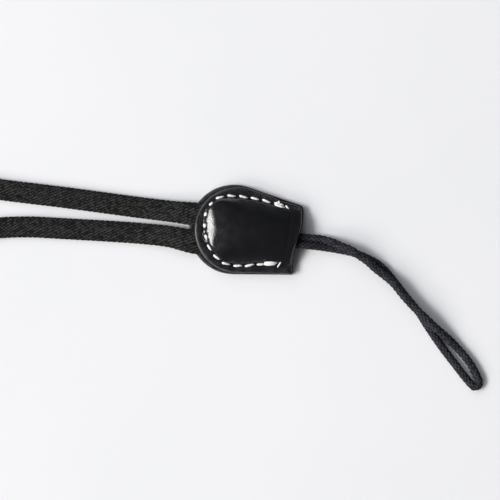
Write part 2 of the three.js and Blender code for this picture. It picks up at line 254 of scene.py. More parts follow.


# %% [markdown]
# ## The cord's route
#
# The cord is one length of thin braid, 1.9 mm thick. Both its ends are knotted inside the tab. It comes out
# of the mouth, droops to the surface, and twists twice over its own return: at each crossing one strand
# climbs over the other in a low hump. At the far end it turns back in a narrow eye. The limp cord keeps
# these curves as it lies, so the route is a list of given points, in millimetres.

# %% The cord's route
CORD_THICKNESS = 1.9
CORD_ROUTE = [
    (3.8, 0.5, 2.65),
    (13.5, 0.7, 2.36),
    (18, 0.97, 1.65),
    (20.5, 1.03, 1.38),
    (22.9, 0.72, 2.06),
    (25.3, 0.04, 2.7),
    (27.8, -0.5, 2.88),
    (29.9, -1.5, 2.92),
    (32.5, -2.74, 2.76),
    (35, -4.37, 2.38),
    (37.65, -5.83, 2.6),
    (40, -7.3, 2.83),
    (43.25, -10.2, 2.92),
    (46.2, -12.55, 2.95),
    (49.4, -14.75, 2.9),
    (52.6, -16.95, 2.4),
    (56.5, -19.3, 1.35),
    (58.7, -20.95, 0.99),
    (61.25, -23, 0.97),
    (63.55, -25.3, 0.97),
    (64.95, -27.15, 0.97),
    (65.95, -28.75, 0.97),
    (66.15, -29.6, 0.97),
    (65.8, -30.3, 0.97),
    (65.05, -30.5, 0.97),
    (64.3, -30.1, 0.97),
    (62.05, -28.2, 0.97),
    (59.25, -25.55, 0.97),
    (56.1, -22.6, 0.97),
    (53.3, -19.75, 0.97),
    (50.3, -16.5, 0.97),
    (47.9, -13.75, 0.97),
    (43.55, -9.9, 0.97),
    (40.4, -6.9, 0.97),
    (35.8, -3.25, 0.97),
    (29.5, -1.25, 0.97),
    (22.7, -0.9, 1),
    (18, -1, 1.65),
    (13.5, -1.27, 2.36),
    (3.8, -1.45, 2.65),
]
cord_line = spline(CORD_ROUTE)
cord_length = lengths_along(cord_line)[-1]
print("cord length", round(cord_length, 1), "mm")

# %% [markdown]
# ## The braided cord
#
# Twelve fine strands make this cord, six winding one way and six the other. Where they cross, the
# strand on top alternates from column to column, so a hump that leans left follows one that leans right.
# The flat sheet of humps is rolled round the cord's route. To roll it without twists, a pair of directions
# square to the route is carried along from point to point and turned only as much as the route bends.

# %% The braided cord
BRAID_AROUND = 6  # humps round the cord, one for each strand of a family
BRAID_REPEAT = 1.35
BRAID_STEPS = 5
BRAID_RELIEF = 0.24


def braid_height(m, n):
    """Humps that lean one way in one column and the other way in the next."""
    leans_left = (np.floor(m + 1e-6) + np.floor(n + 1e-6)) % 2 == 0
    long_way = np.where(leans_left, m, n)
    short_way = np.where(leans_left, n, m)
    return BRAID_RELIEF * hump(long_way, 0.35) * hump(short_way, 0.75)


def carried_frames(line):
    """Two directions square to the line at each of its points, carried along without twist."""
    ahead = unit(np.gradient(line, axis=0))
    side = np.empty_like(line)
    side[0] = unit(np.cross(ahead[0], [0, 0, 1]))
    for i in range(1, len(line)):
        side[i] = unit(side[i - 1] - ahead[i] * np.dot(side[i - 1], ahead[i]))
    return side, np.cross(ahead, side)


def sheet_places(piece, repeat, steps):
    """For each point of a woven sheet: its column, its place round, and its relief."""
    points = points_of(piece)
    column = np.round(points[:, 0] / repeat[0] * 2 * steps).astype(int)
    return column, points[:, 1] / repeat[1], points[:, 2]


def close_ends(piece):
    edit_selected(piece, "VERT", lambda vertex: False)
    bpy.ops.mesh.select_non_manifold(extend=False)
    bpy.ops.mesh.fill_holes(sides=0)
    object_mode()


def braided_cord():
    count = round(cord_length / BRAID_REPEAT)
    repeat = (cord_length / count, pi * CORD_THICKNESS / BRAID_AROUND)
    piece = woven_sheet("braided_cord", repeat, (count, BRAID_AROUND), BRAID_STEPS, braid_height)
    column, place, relief = sheet_places(piece, repeat, BRAID_STEPS)
    centres = at_lengths(cord_line, np.linspace(0, cord_length, column.max() + 1))
    side, up = carried_frames(centres)
    turn = (2 * pi * place / BRAID_AROUND)[:, None]
    out = side[column] * np.cos(turn) + up[column] * np.sin(turn)
    core = CORD_THICKNESS / 2 - BRAID_RELIEF * 0.45
    place_points(piece, (centres[column] + out * (core + relief)[:, None]) * MM)
    close_ends(piece)
    tidy_shell(piece)
    return piece, centres * MM


braid, braid_centres = braided_cord()
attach(braid, "root")
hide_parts("cord_loop")
print("braided cord:", len(braid.data.polygons), "faces")

# %% [markdown]
# ## The knot in the tab
#
# The cord's two ends are tied together inside the tab, and the knot is too big to slip out of the sewn
# pocket. It can hardly be seen, so three wraps of cord stand for it: a torus is added, stretched to lie
# round two strands side by side, and copied twice along the tab.

# %% The knot
KNOT_WRAPS = (0.95, 2.7, 4.45)
KNOT_HALF_WIDTH, KNOT_HALF_HEIGHT = 3.0, 1.85
KNOT_Y, KNOT_Z = -0.5, 3.15


def cord_knot():
    radius = CORD_THICKNESS * 0.45  # the knot is pulled tight
    wraps = []
    for x in KNOT_WRAPS:
        start_clean()
        bpy.ops.mesh.primitive_torus_add(
            major_segments=40,
            minor_segments=14,
            major_radius=(KNOT_HALF_HEIGHT - radius) * MM,
            minor_radius=radius * MM,
            rotation=(0, pi / 2, radians(6)),
        )
        bpy.ops.object.transform_apply(location=True, rotation=True, scale=True)
        wrap = bpy.context.object
        points = points_of(wrap)
        spread = (KNOT_HALF_WIDTH - KNOT_HALF_HEIGHT) * MM
        points[:, 1] += spread * np.clip(points[:, 1] / (radius * 0.6 * MM), -1, 1)
        place_points(wrap, points + np.array([x, KNOT_Y, KNOT_Z]) * MM)
        wraps.append(wrap)
    start_clean()
    for wrap in wraps:
        wrap.select_set(True)
    bpy.context.view_layer.objects.active = wraps[0]
    bpy.ops.object.join()
    bpy.ops.object.shade_smooth()
    return name_it("tied_knot")


knot = cord_knot()
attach(knot, "root")
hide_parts("cord_knot")
print("knot:", len(knot.data.polygons), "faces")

# %% [markdown]
# ## The wrist tape's path
#
# The tape is flat and woven, 5.5 mm wide. It leaves the tab, runs out, goes round a wide bend and comes
# back. Where it runs straight it lies flat. A flat tape can't bend sideways in its own plane, so in the
# bend it rolls up on its edge. Between the leather layers the sewing presses it wider and thinner.
#
# Each station gives the tape's place, its roll in degrees, how much it is pressed, and how high its
# underside is, in millimetres.

# %% The tape's stations
TAPE_STATIONS = [
    (-5.5, 2.4, 0, 1, 1.3),
    (-9.5, 2.4, 0, 1, 1.3),
    (-13.2, 2.35, 0, 1, 1.3),
    (-15.4, 2.25, 0, 0.7, 1.25),
    (-19, 2.1, 0, 0.15, 0.8),
    (-26, 1.85, 0, 0, 0.1),
    (-33, 1.65, 0, 0, 0),
    (-48, 1.3, 0, 0, 0),
    (-64, 0.75, 2, 0, 0),
    (-78, 0.6, 14, 0, 0),
    (-94, 1.4, 42, 0, 0),
    (-110, 3.2, 74, 0, 0),
    (-126, 4.8, 90, 0, 0),
    (-141, 4.6, 90, 0, 0),
    (-152.8, -0.8, 90, 0, 0),
    (-157.2, -12, 90, 0, 0),
    (-152.8, -23.2, 90, 0, 0),
    (-141, -28.6, 90, 0, 0),
    (-126, -28, 90, 0, 0),
    (-110, -24, 74, 0, 0),
    (-94, -18.6, 42, 0, 0),
    (-78, -13.4, 14, 0, 0),
    (-63, -9.1, 2, 0, 0),
    (-55, -7.6, 0, 0, 0),
    (-47, -6.75, 0, 0, 0),
    (-32, -5.25, 0, 0, 0),
    (-26, -4.75, 0, 0, 0.1),
    (-19, -4.45, 0, 0.15, 0.8),
    (-15.4, -4.65, 0, 0.7, 1.25),
    (-13.2, -4.8, 0, 1, 1.3),
    (-9.5, -4.85, 0, 1, 1.3),
    (-5.5, -4.85, 0, 1, 1.3),
]
tape_line = spline([(x, y, 0) for x, y, *_ in TAPE_STATIONS])
tape_settings = spline([station[2:] for station in TAPE_STATIONS], centripetal=False)
tape_length = lengths_along(tape_line)[-1]
print("tape length", round(tape_length, 1), "mm")

# %% [markdown]
# ## The woven tape
#
# Its yarns make slanting ridges, like a twill, with deep grooves between the ridges and shallow breaks
# along each one. The sheet is folded round a flat section with rounded edges, so the ridges run over the
# edges and on across the underside, as they do on a tape braided in the round and pressed flat.
#
# The section is a superellipse: between an ellipse and a rectangle. Its points are spaced evenly along its
# outline, so the yarns keep their width all the way round.

# %% The woven tape
TAPE_FLAT = (5.5, 1.5)
TAPE_PRESSED = (6.2, 1.0)
TAPE_AROUND = 15  # ridges round the tape
TAPE_REPEAT = 1.13
TAPE_STEPS = 3
TAPE_RELIEF = 0.16
TAPE_DRIFT = 0.18  # how far the yarns drift round the tape from one repeat to the next


def twill_height(m, n):
    """Ridges with deep grooves between them, and shallower breaks along each."""
    return TAPE_RELIEF * hump(m, 0.6) * (0.6 + 0.4 * hump(n, 0.6))


def flat_section(width, thickness, places):
    """Points and outward directions at even spaces round a flat section with rounded edges."""
    angle = np.linspace(0, 2 * pi, 721)
    power = 2 / 2.3
    x = width / 2 * np.sign(np.cos(angle)) * np.abs(np.cos(angle)) ** power
    y = thickness / 2 * np.sign(np.sin(angle)) * np.abs(np.sin(angle)) ** power
    outline = np.stack([x, y], axis=1)
    lengths = lengths_along(outline)
    wanted = (places % 1) * lengths[-1]
    points = at_lengths(outline, wanted, lengths)
    ahead = at_lengths(outline, (wanted + 0.1) % lengths[-1], lengths)
    back = at_lengths(outline, (wanted - 0.1) % lengths[-1], lengths)
    run = unit(ahead - back)
    return points, np.stack([run[:, 1], -run[:, 0]], axis=1)


def woven_tape():
    count = round(tape_length / TAPE_REPEAT)
    repeat = (tape_length / count, 0.83)
    piece = woven_sheet("woven_tape", repeat, (count, TAPE_AROUND), TAPE_STEPS, twill_height)
    column, place, relief = sheet_places(piece, repeat, TAPE_STEPS)
    wanted = np.linspace(0, tape_length, column.max() + 1)
    lengths = lengths_along(tape_line)
    centres = at_lengths(tape_line, wanted)
    roll, press, rise = at_lengths(tape_settings, wanted, lengths).T
    roll = np.radians(roll.clip(0, 90))[column][:, None]
    press = press.clip(0, 1)[column][:, None]

    places = (place + TAPE_DRIFT * column / (2 * TAPE_STEPS)) / TAPE_AROUND
    inset = 1.4 * TAPE_RELIEF
    flat, flat_out = flat_section(TAPE_FLAT[0] - inset, TAPE_FLAT[1] - inset, places)
    pressed, pressed_out = flat_section(TAPE_PRESSED[0] - inset, TAPE_PRESSED[1] - inset, places)
    section = flat * (1 - press) + pressed * press
    section += (flat_out * (1 - press) + pressed_out * press) * relief[:, None]

    ahead = unit(np.gradient(centres, axis=0))[column]
    left = np.stack([-ahead[:, 1], ahead[:, 0], 0 * ahead[:, 0]], axis=1)
    up = np.array([0, 0, 1])
    across = left * np.cos(roll) - up * np.sin(roll)
    through = left * np.sin(roll) + up * np.cos(roll)
    points = centres[column] + across * section[:, :1] + through * section[:, 1:]

    # Each column is lifted until its lowest point, with the yarns' relief, lies as high as it should.
    lowest = np.full(column.max() + 1, np.inf)
    np.minimum.at(lowest, column, points[:, 2])
    smooth = np.convolve(np.pad(lowest, 12, "edge"), np.ones(25) / 25, "valid")
    points[:, 2] += (rise.clip(0) - np.minimum(smooth, lowest))[column]
    place_points(piece, points * MM)
    close_ends(piece)
    tidy_shell(piece)
    return piece


tape = woven_tape()
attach(tape, "root")
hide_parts("wrist_webbing")
print("woven tape:", len(tape.data.polygons), "faces")

# %% [markdown]
# ## The outline of a leather layer
#
# Each layer of the tab is round at its head, where the tape enters, with two flanks that run straight from
# there to the corners of the mouth. The upper layer is a little smaller, because doming it over the knot
# draws its edge in. The sewing pinches its flank a little near the mouth.

# %% Outlines of the leather
LOWER = {"head": (-2.9, 0, 11.6), "upper": (13.95, 8.8), "lower": (14.15, -9.2), "pinch": 0}
UPPER = {"head": (-1.9, 0, 11.05), "upper": (13.55, 8.4), "lower": (13.85, -9.0), "pinch": 0.25}
CORNER_RADIUS = 0.6
MOUTH_WAVE = 0.5  # the mouth's edge stands out by this in its upper half and is drawn in below
SPOKES = 264
DOME_CENTRE = np.array([0, -0.2])


def layer_outline(layer):
    """The layer's outline as evenly spaced points, anticlockwise from its upper flank."""
    x, y, radius = layer["head"]
    centre = np.array([x, y])

    def touch(corner, turn):
        """Where the flank from a corner touches the head's arc."""
        reach = np.array(corner) - centre
        return atan2(reach[1], reach[0]) + turn * acos(radius / hypot(*reach))

    start, end = touch(layer["upper"], 1), touch(layer["lower"], -1) + 2 * pi
    turn = np.linspace(start, end, 200)
    arc = centre + radius * np.stack([np.cos(turn), np.sin(turn)], axis=1)

    def rounded(before, corner, after):
        corner = np.array(corner)
        back = corner + CORNER_RADIUS * unit(np.array(before) - corner)
        on = corner + CORNER_RADIUS * unit(np.array(after) - corner)
        w = np.linspace(0, 1, 9)[:, None]
        return back * (1 - w) ** 2 + 2 * corner * w * (1 - w) + on * w**2

    lower_corner = rounded(arc[-1], layer["lower"], layer["upper"])
    upper_corner = rounded(layer["lower"], layer["upper"], arc[0])
    line = np.vstack([arc, lower_corner, upper_corner, arc[:1]])
    even = at_lengths(line, np.linspace(0, lengths_along(line)[-1], SPOKES, endpoint=False))
    share = (even[:, 1] - layer["lower"][1]) / (layer["upper"][1] - layer["lower"][1])
    even[:, 0] -= MOUTH_WAVE * np.sin(2 * pi * share.clip(0, 1)) * (even[:, 0] > 12.5)
    even[:, 1] -= layer["pinch"] * np.exp(-(((even[:, 0] - 8) / 2) ** 2)) * (even[:, 1] > 0)
    return even


# %% [markdown]
# ## The seam
#
# White thread sews the layers together along a U, open at the mouth. It was sewn by hand, so the line isn't
# quite even. The dome rises just inside it, and the thread pulls the leather down into a shallow groove.
#
# Distances from the seam decide the leather's shape, so a helper measures them for many points at once.

# %% The seam
SEAM = [
    (10.2, 7.85),
    (4.5, 8.5),
    (-1.4, 8.7),
    (-7.2, 7.8),
    (-10.4, 4.6),
    (-10.8, 0.4),
    (-8.9, -4.8),
    (-5.0, -8.5),
    (-0.4, -9.1),
    (5.2, -7.85),
    (10.2, -7.15),
]
PAST_MOUTH = 8
seam_line = spline(SEAM, centripetal=False)[::4]
seam_start = seam_line[0] + unit(seam_line[0] - seam_line[1]) * PAST_MOUTH
seam_end = seam_line[-1] + unit(seam_line[-1] - seam_line[-2]) * PAST_MOUTH
dome_line = np.vstack([seam_start, seam_line, seam_end])


def distance_to(points, line):
    """The distance in plan from each point to an open line."""
    nearest = np.full(len(points), np.inf)
    for start, end in zip(line, line[1:]):
        side = end - start
        share = np.clip((points - start) @ side / (side @ side), 0, 1)
        nearest = np.minimum(nearest, np.linalg.norm(points - start - share[:, None] * side, axis=1))
    return nearest


def is_within(points, line):
    """Whether each point lies within a closed line, by counting the sides to its right."""
    within = np.zeros(len(points), bool)
    for (ax, ay), (bx, by) in zip(line, np.roll(line, -1, axis=0)):
        spans = (ay > points[:, 1]) != (by > points[:, 1])
        rise = by - ay if by != ay else 1e-9
        within ^= spans & (points[:, 0] < ax + (points[:, 1] - ay) * (bx - ax) / rise)
    return within


def onto_line(through, line):
    """Where a ray from the dome's centre through a point crosses a closed line."""
    start = line - DOME_CENTRE
    side = np.roll(line, -1, axis=0) - line
    ray = through - DOME_CENTRE
    cross = ray[0] * side[:, 1] - ray[1] * side[:, 0]
    along = (start[:, 0] * side[:, 1] - start[:, 1] * side[:, 0]) / cross
    share = (start[:, 0] * ray[1] - start[:, 1] * ray[0]) / cross
    hit = (along > 0) & (share >= 0) & (share <= 1)
    return DOME_CENTRE + ray * along[hit].min()


# %% [markdown]
# ## Where the stitches go
#
# Each stitch is a short length of thread between two holes. The holes are punched 3 mm apart along the
# seam. At each end of the seam the thread is sewn back over itself, to lock it. The leather's shape needs
# the holes too, because the thread drags it down there, so the places come first and the thread later.
#
# A stitch is given by its two ends, its thickness, and how far it stands above the leather.

# %% Places of the stitches
HOLE_SPACING = 3.0
THREAD = 0.8
seam_lengths = lengths_along(seam_line)


def at_seam(length):
    """A point on the seam and the seam's direction there."""
    point = at_lengths(seam_line, [length], seam_lengths)[0]
    step = at_lengths(seam_line, [length - 0.2, length + 0.2], seam_lengths)
    return point, unit(step[1] - step[0])


def seam_stitches():
    """The stitches of the seam as (start, end, thickness, lift)."""
    start = seam_lengths[np.linalg.norm(seam_line - [7.3, 8.2], axis=1).argmin()]
    end = seam_lengths[np.linalg.norm(seam_line - [8.3, -7.2], axis=1).argmin()]
    count = round((end - start) / HOLE_SPACING)
    spacing = (end - start) / count
    stitches = []
    for k in range(1, count):
        middle, ahead = at_seam(start + spacing * k)
        rightward = ahead if ahead[0] > 0 else -ahead
        inward = np.array([0, -1]) if middle[1] > 0 else np.array([0, 1])
        at_head = 1 - smoothstep(middle[0], -10.6, -8.2)
        middle = middle + np.array([0.35, 0]) * at_head
        length = 2.45 - 1.25 * at_head
        slant = radians(8 + 4 * sin(2.4 * k)) * (1 - 0.6 * at_head)
        half = (rightward * cos(slant) + inward * sin(slant)) * length / 2
        stitches.append((middle - half, middle + half, THREAD + 0.25 * at_head, 0.3 + 0.04 * at_head))
    return stitches


BACK_TACKS = [
    ((6.3, 8.45), (9.1, 8.2), 0.85, 0.32),
    ((6.5, 7.95), (9.3, 7.6), 0.85, 0.36),
    ((7.4, 9.1), (7.8, 8.2), 0.5, 0.24),
    ((9.4, 8.2), (10.4, 7.4), 0.6, 0.2),
    ((6.2, -7.75), (9.3, -7.2), 0.85, 0.35),
    ((6.3, -7.2), (9.5, -6.75), 0.85, 0.4),
    ((10.4, -6.5), (9.8, -7.95), 0.5, 0.24),
]
STITCHES = seam_stitches() + [(np.array(a), np.array(b), t, lift) for a, b, t, lift in BACK_TACKS]
print("stitches:", len(STITCHES))

# %% [markdown]
# ## The leather's heights
#
# The lower layer is flat. The upper layer is a dome over the knot and the cord, with a flat flange sewn
# down round it. The flange lies higher over the tape's two ends. From these rules two functions give the
# heights of the top face and of the inner face anywhere in plan.
#
# Real leather isn't as even as that: the thread dimples it at each hole, and a crease shows where it turns
# out into the mouth's lip.

# %% Heights of the upper leather
THICKNESS = 1.2
FLOOR_INSIDE = 1.3
TAPE_TOP = 2.4
FLANGE, HEAD_FLANGE = 2.5, 3.6
CROWN, CROWN_END, MOUTH_TOP = 6.6, 4.5, 5.0
SHOULDER, EASE = 7.8, 0.4  # the dome's flanks; at the head both are shorter
SEAM_DEPTH, SEAM_WIDTH = 0.2, 0.42
MOUTH_X, LIP = 13.55, 2.25
HEAD_SLOPES = {0: 0.5, 0.5: 0.46, 2.8: 0.37, 3.8: 0.19, 12: 0.12, 16: 0}  # at these distances from the head's front
FRONT_TURN = radians(9)  # the dome's front, over the tape's two ends, isn't quite square to the tab
FRONT_X = -10.85
holes = np.array([end for start, stop, *_ in STITCHES for end in (start, stop)])


def over_tape(points):
    """1 over the tape's ends and close round them, falling to 0 beside them."""
    x, y = points.T
    half = TAPE_PRESSED[0] / 2
    above = 1 - smoothstep(y, 2.4 + half + 0.4, 2.4 + half + 4.4)
    below = smoothstep(y, -4.85 - half - 4.4, -4.85 - half - 0.4)
    behind = 1 - smoothstep(x, -5.5 + 0.4, -5.5 + 4.4)
    return above * below * behind


def hole_dimples(points, depth, width):
    """How deep the thread has dragged the leather down at its holes."""
    gap = np.linalg.norm(points[:, None, :] - holes[None, :, :], axis=2).min(axis=1)
    return depth * np.exp(-((gap / width) ** 2))


def smooth_least(a, b, blend):
    """The lesser of two heights, with the corner where they cross rounded off."""
    share = np.clip(0.5 + 0.5 * (b - a) / blend, 0, 1)
    return b * (1 - share) + a * share - blend * share * (1 - share) * (np.minimum(a, b) > 0)


def head_rise(distance):
    """Height gained from the seam inwards at the head, where the leather lies over the tape."""
    steps = np.linspace(0, max(HEAD_SLOPES), 241)
    slopes = np.interp(steps, list(HEAD_SLOPES), list(HEAD_SLOPES.values()))
    heights = np.concatenate([[0], np.cumsum((slopes[1:] + slopes[:-1]) / 2 * np.diff(steps))])
    return np.interp(distance, steps, heights)


def top_height(points):
    lift = over_tape(points)
    flange = FLANGE + (HEAD_FLANGE - FLANGE) * lift
    distance = distance_to(points, dome_line)
    pull = SEAM_DEPTH * np.exp(-((distance / SEAM_WIDTH) ** 2))
    crown = CROWN + (MOUTH_TOP - CROWN) * smoothstep(points[:, 0], CROWN_END, MOUTH_X)
    shorter = 0.3 + 0.7 * smoothstep(points[:, 0], -9, -3)
    eased = distance**2 / (distance + EASE * shorter)
    climb = 1 - (1 - np.minimum(eased / (SHOULDER * shorter), 1)) ** 2
    inside = is_within(points, dome_line)
    along = points @ np.array([cos(FRONT_TURN), sin(FRONT_TURN)])
    beside = points @ np.array([-sin(FRONT_TURN), cos(FRONT_TURN)])
    from_front = along - FRONT_X - 0.008 * (beside - 0.8) ** 2
    tighter = 1 + 0.02 * (beside - 0.8) ** 2
    head = HEAD_FLANGE - flange + head_rise(from_front.clip(0) * tighter) / tighter
    rise = smooth_least((crown - flange) * climb, head, 0.15 + 0.35 * head)
    top = np.where(inside, flange + rise, flange) - pull * (1 - 0.4 * lift)
    crease = 0.12 * np.exp(-(((points[:, 0] - (MOUTH_X - LIP)) / 0.35) ** 2))
    return top - crease - hole_dimples(points, 0.16, 0.4)


def inner_height(points):
    step = 0.05
    rise_x = top_height(points + [step, 0]) - top_height(points - [step, 0])
    rise_y = top_height(points + [0, step]) - top_height(points - [0, step])
    steepness = np.sqrt(1 + (rise_x / (2 * step)) ** 2 + (rise_y / (2 * step)) ** 2)
    below = top_height(points) - THICKNESS * steepness
    return np.maximum(below, FLOOR_INSIDE + (TAPE_TOP - FLOOR_INSIDE) * over_tape(points))


# %% [markdown]
# ## Shaping the leather layers
#
# Both layers are made the same way. A filled circle gets one vertex for each spoke. It is inset again and
# again, which lays rings inside it, close together near the seam, and its middle is poked into a fan. Each
# point then moves to its place: out to the outline, on to the seam, or in between. The sheet is extruded
# down for the leather's thickness, its underside is shaped, and its rims are bevelled round, as a
# saddler's edge tool leaves them.

# %% Shape a leather layer
NEAR_SEAM = (0, 0.15, 0.3, 0.45, 0.65, 0.9, 1.2, 1.6, 2, 2.5, 3, 3.6, 4.2, 5)
TO_CENTRE = (0.75, 0.5, 0.25, 0.1)
TO_EDGE = (1, 0.8, 0.6, 0.4, 0.25, 0.12)
RING_GAP = 0.035


def ring_places(layer):
    """Places in plan for each ring from the edge inwards, and for the centre."""
    edge = layer_outline(layer)
    pocket = np.vstack([seam_line, [MOUTH_X - LIP, SEAM[-1][1]], [MOUTH_X - LIP, SEAM[0][1]]])
    seam = np.array([onto_line(point, pocket) for point in edge])
    rings = [seam + (edge - seam) * share for share in TO_EDGE]
    inward = DOME_CENTRE - seam
    reach = np.linalg.norm(inward, axis=1)[:, None]
    rings += [seam + inward / reach * distance for distance in NEAR_SEAM]
    last = rings[-1]
    rings += [DOME_CENTRE + (last - DOME_CENTRE) * share for share in TO_CENTRE]
    return rings


def leather_layer(name, layer, top, under, edge_round):
    """A leather layer: top and under give its faces' heights in plan."""
    rings = ring_places(layer)
    start_clean()
    bpy.ops.mesh.primitive_circle_add(vertices=SPOKES, radius=1, fill_type="NGON")
    piece = name_it(name)
    edit_selected(piece, "FACE", lambda face: True)
    for _ in rings[1:]:
        bpy.ops.mesh.inset(thickness=RING_GAP)
    bpy.ops.mesh.poke()
    object_mode()

    # Each point moves to its ring's and spoke's place.
    points = points_of(piece)
    radius = np.hypot(points[:, 0], points[:, 1])
    ring = np.round((1 - radius) / RING_GAP).astype(int)
    spoke = np.round(np.arctan2(points[:, 1], points[:, 0]) / (2 * pi) * SPOKES).astype(int) % SPOKES
    centre = radius < RING_GAP
    plan = np.array(rings)[np.minimum(ring, len(rings) - 1), spoke]
    plan[centre] = DOME_CENTRE
    place_points(piece, np.column_stack([plan, top(plan)]) * MM)

    edit_selected(piece, "FACE", lambda face: True)
    bpy.ops.mesh.extrude_region_move(TRANSFORM_OT_translate={"value": (0, 0, -20 * MM)})
    object_mode()
    points = points_of(piece) / MM
    low = points[:, 2] < -5
    points[low, 2] = under(points[low, :2])
    place_points(piece, points * MM)

    edit_selected(piece, "EDGE", lambda edge: False)
    bpy.ops.mesh.select_all(action="SELECT")
    bpy.ops.mesh.normals_make_consistent(inside=False)
    bpy.ops.mesh.select_all(action="DESELECT")
    bpy.ops.mesh.edges_select_sharp(sharpness=radians(55))
    bpy.ops.mesh.bevel(offset=edge_round * MM, segments=3, affect="EDGES")
    object_mode()
    tidy_shell(piece)

    # Marked for the material: the greyer cut edges, with a painted highlight at the head, and the flange's painted
    # reflection.
    plan = points_of(piece)[:, :2] / MM
    outline = layer_outline(layer)
    from_edge = distance_to(plan, np.vstack([outline, outline[:1]]))
    mark = piece.data.attributes.new("edge_grey_and_highlight", "FLOAT", "POINT")
    # The rim at the head faces the window, so the edge is painted paler there: a painted highlight.
    at_head = 1 - smoothstep(plan[:, 0], -9, 0)
    mark.data.foreach_set("value", (1 - smoothstep(from_edge, 0.15, 0.85)) * (0.12 + 0.88 * at_head))
    # The flange round the dome is painted paler, a painted reflection of the room; the dome itself isn't.
    mark = piece.data.attributes.new("painted_flange_reflection", "FLOAT", "POINT")
    on_dome = is_within(plan, dome_line) * smoothstep(distance_to(plan, dome_line), 0, 0.6)
    mark.data.foreach_set("value", (1 - smoothstep(from_edge, 0.4, 2.8)) * (1 - on_dome))
    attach(piece, "root")
    return piece


# %% [markdown]
# ## The two layers
#
# The lower layer's underside has a shallow groove along the seam. A saddler cuts one so that the thread
# lies below the surface, where nothing can rub it through, and the tab still lies flat.

# %% The two layers
GROOVE_DEPTH, GROOVE_WIDTH = 0.42, 0.75


def lower_top(points):
    return np.full(len(points), THICKNESS)


def lower_under(points):
    along = seam_line
    return GROOVE_DEPTH * np.exp(-((distance_to(points, along) / GROOVE_WIDTH) ** 4))


lower_layer = leather_layer("lower_layer", LOWER, lower_top, lower_under, 0.25)
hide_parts("lower_leather")
upper_layer = leather_layer("upper_layer", UPPER, top_height, inner_height, 0.45)
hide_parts("upper_leather")
print("leather layers:", len(lower_layer.data.polygons), len(upper_layer.data.polygons), "faces")

# %% [markdown]
# ## The thread
#
# Sewing thread is three plies twisted together. A twelve-sided circle is given three lobes, and extruded in
# short steps, turning a little each time. The ends are drawn in, because each stitch dives into its hole.
# The stitch is modelled once, 1 mm long. Copies are stretched and bent into their places, on top and, the
# other way up, on the underside: a saddle stitch looks the same from both sides.

# %% One stitch
STITCH_STEPS = 14
TWIST = radians(28)


def thread_template():
    start_clean()
    bpy.ops.mesh.primitive_circle_add(vertices=12, radius=0.5, fill_type="NGON", rotation=(0, pi / 2, 0))
    bpy.ops.object.transform_apply(location=True, rotation=True, scale=True)
    piece = name_it("stitch")
    points = points_of(piece)
    turn = np.arctan2(points[:, 2], points[:, 1])
    lobes = 0.86 + 0.14 * np.abs(np.cos(1.5 * turn)) ** 0.7
    points[:, 1:] *= lobes[:, None]
    place_points(piece, points)
    edit_selected(piece, "FACE", lambda face: True)
    for k in range(STITCH_STEPS):
        bpy.ops.mesh.extrude_region_move(TRANSFORM_OT_translate={"value": (1 / STITCH_STEPS, 0, 0)})
        bpy.ops.transform.rotate(value=TWIST, orient_axis="X", center_override=((k + 1) / STITCH_STEPS, 0, 0))
    object_mode()
    tidy_shell(piece)
    return piece


def add_stitch(template, start, end, thickness, lift, surface, side):
    """A copy of the template from start to end, lying on a surface. side is 1 on top and -1 below."""
    start_clean()
    template.select_set(True)
    bpy.context.view_layer.objects.active = template
    bpy.ops.object.duplicate(linked=False)
    piece = bpy.context.object
    points = points_of(piece)
    along = points[:, 0]
    arch = 1 - (2 * along - 1) ** 2
    plump = thickness * (0.6 + 0.4 * arch**0.5) * (1.05 - 0.4 * along)
    run = end - start
    across = unit(np.array([-run[1], run[0]]))
    dive = 0.08
    stretched = along * (1 + 2 * dive) - dive
    plan = start + stretched[:, None] * run + across * (points[:, 1] * plump)[:, None]
    middle = start + stretched[:, None] * run
    centre_line = lift - thickness / 2 - (1 - arch**0.4) * (thickness * 0.9)
    z = surface(middle) + side * (centre_line + points[:, 2] * plump)
    place_points(piece, np.column_stack([plan, z]) * MM)
    return piece


def groove_floor(points):
    """The level that the stitches on the underside stay above, in their groove."""
    return np.full(len(points), 0.02)


def sewn_thread():
    template = thread_template()
    pieces = []
    for start, end, thickness, lift in STITCHES:
        pieces.append(add_stitch(template, start, end, thickness, lift + 0.1, top_height, 1))
        pieces.append(add_stitch(template, start, end, thickness, 0, groove_floor, -1))
    start_clean()
    template.select_set(True)
    bpy.ops.object.delete()
    for piece in pieces:
        piece.select_set(True)
    bpy.context.view_layer.objects.active = pieces[0]
    bpy.ops.object.join()
    thread = name_it("sewing_thread")
    tidy_shell(thread)
    return thread


thread = sewn_thread()
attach(thread, "root")
print("thread:", len(thread.data.polygons), "faces")

# %% [markdown]
# ## Finishes built from nodes
#
# Every finish is drawn by nodes, so it has no picture files and stays sharp at any distance. An effect that
# more than one finish uses is a node group with named inputs, placed in each material with its own values.
# A small helper keeps the node code short: it adds a node, sets its values and links its inputs.


# %% Helpers for nodes
class Tree:
    """Adds nodes to a node tree. An input may be given as a value or as another node's output."""

    def __init__(self, tree):
        self.nodes, self.links = tree.nodes, tree.links

    def add(self, kind, inputs=None, **settings):
        node = self.nodes.new("ShaderNode" + kind)
        for key, value in settings.items():
            setattr(node, key, value)
        for key, value in (inputs or {}).items():
            if isinstance(value, bpy.types.NodeSocket):
                self.links.new(value, node.inputs[key])
            else:
                node.inputs[key].default_value = value
        return node

    def math(self, operation, *values):
        return self.add("Math", dict(enumerate(values)), operation=operation).outputs[0]

    def span(self, value, low, high, to_low=0.0, to_high=1.0):
        """A value between low and high, mapped to between two others."""
        limits = {"Value": value, "From Min": low, "From Max": high, "To Min": to_low, "To Max": to_high}
        return self.add("MapRange", limits).outputs["Result"]

    def mix(self, share, first, second):
        inputs = {"Factor": share, "A": first, "B": second}
        return self.add("Mix", inputs, data_type="RGBA").outputs["Result"]


